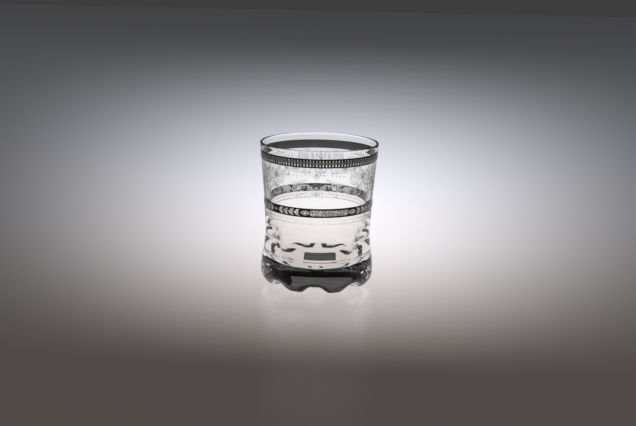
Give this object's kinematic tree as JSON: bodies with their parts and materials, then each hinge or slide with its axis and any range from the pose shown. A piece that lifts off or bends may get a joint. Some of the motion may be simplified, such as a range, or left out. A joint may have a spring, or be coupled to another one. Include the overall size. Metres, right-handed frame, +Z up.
{
  "type": "lowball glass",
  "caption": "Lowball drinking glass with a flared rim, waisted wall, heavy fluted foot, two metallic bands and a blank label under its base.",
  "frame": {"origin": "centre of the ring of feet, on the surface that the glass stands on", "axes": "+Z up along the axis of the glass, -Y towards the viewer of the picture, +X to the viewer's right"},
  "size_m": [0.082, 0.082, 0.1],
  "materials": {
    "clear_glass": "fire-polished",
    "fired_platinum": "bright film with matte relief marks",
    "label_paper": "matte, blank"
  },
  "bodies": {
    "root": {"tumbler": "clear_glass", "upper_band": "fired_platinum", "lower_band": "fired_platinum", "base_label": "label_paper"}
  },
  "joints": []
}
